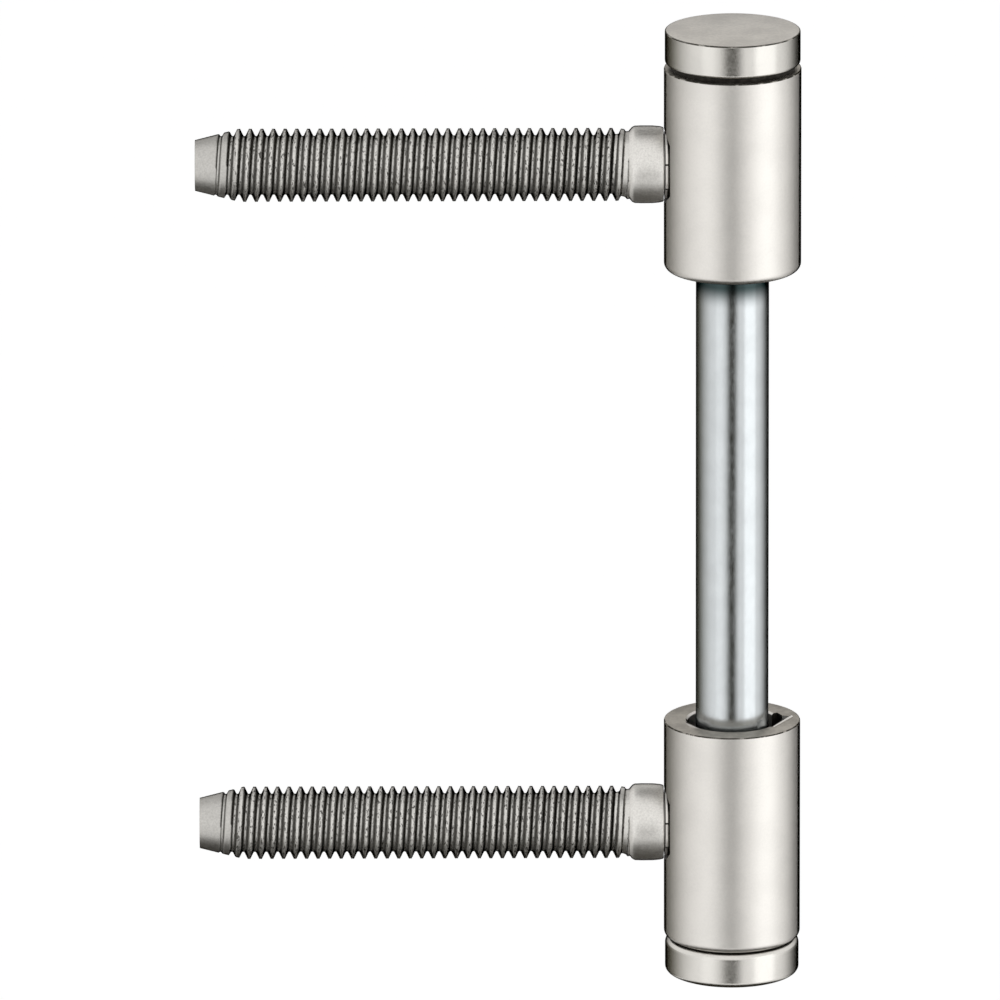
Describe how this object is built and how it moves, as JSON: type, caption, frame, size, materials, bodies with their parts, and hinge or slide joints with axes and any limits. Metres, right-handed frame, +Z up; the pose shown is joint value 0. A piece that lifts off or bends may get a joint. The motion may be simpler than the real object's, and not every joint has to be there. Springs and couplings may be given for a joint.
{
  "type": "door hinge leaf part",
  "caption": "Door hinge leaf part: bored barrels with screw-in threaded studs, joined by a draw-out pin with a cap, which carries the other leaf's knuckle.",
  "frame": {"origin": "on the hinge axis, midway between the two barrels and between the two studs", "axes": "+Z up along the hinge axis towards the pin's cap, -X along the studs into the door's edge, Y across the door's thickness"},
  "size_m": [0.0661, 0.015, 0.1071],
  "materials": {
    "satin_nickel": "satin nickel plate on steel",
    "stud_steel": "nickel-plated steel, rolled thread with dark roots",
    "zinc_pin": "bright blue-passivated zinc on steel",
    "bush_plastic": "black moulded bearing plastic"
  },
  "bodies": {
    "leaf": {"upper_knuckle": "satin_nickel", "lower_knuckle": "satin_nickel", "upper_stud": "stud_steel", "lower_stud": "stud_steel", "bottom_cap": "satin_nickel", "upper_bush": "bush_plastic", "lower_bush": "bush_plastic"},
    "pin": {"hinge_pin": "zinc_pin", "top_cap": "satin_nickel"}
  },
  "joints": [
    {"name": "pin_slide", "type": "slide", "parent": "leaf", "child": "pin", "axis": [0, 0, 1], "range_m": [0, 0.13]}
  ]
}
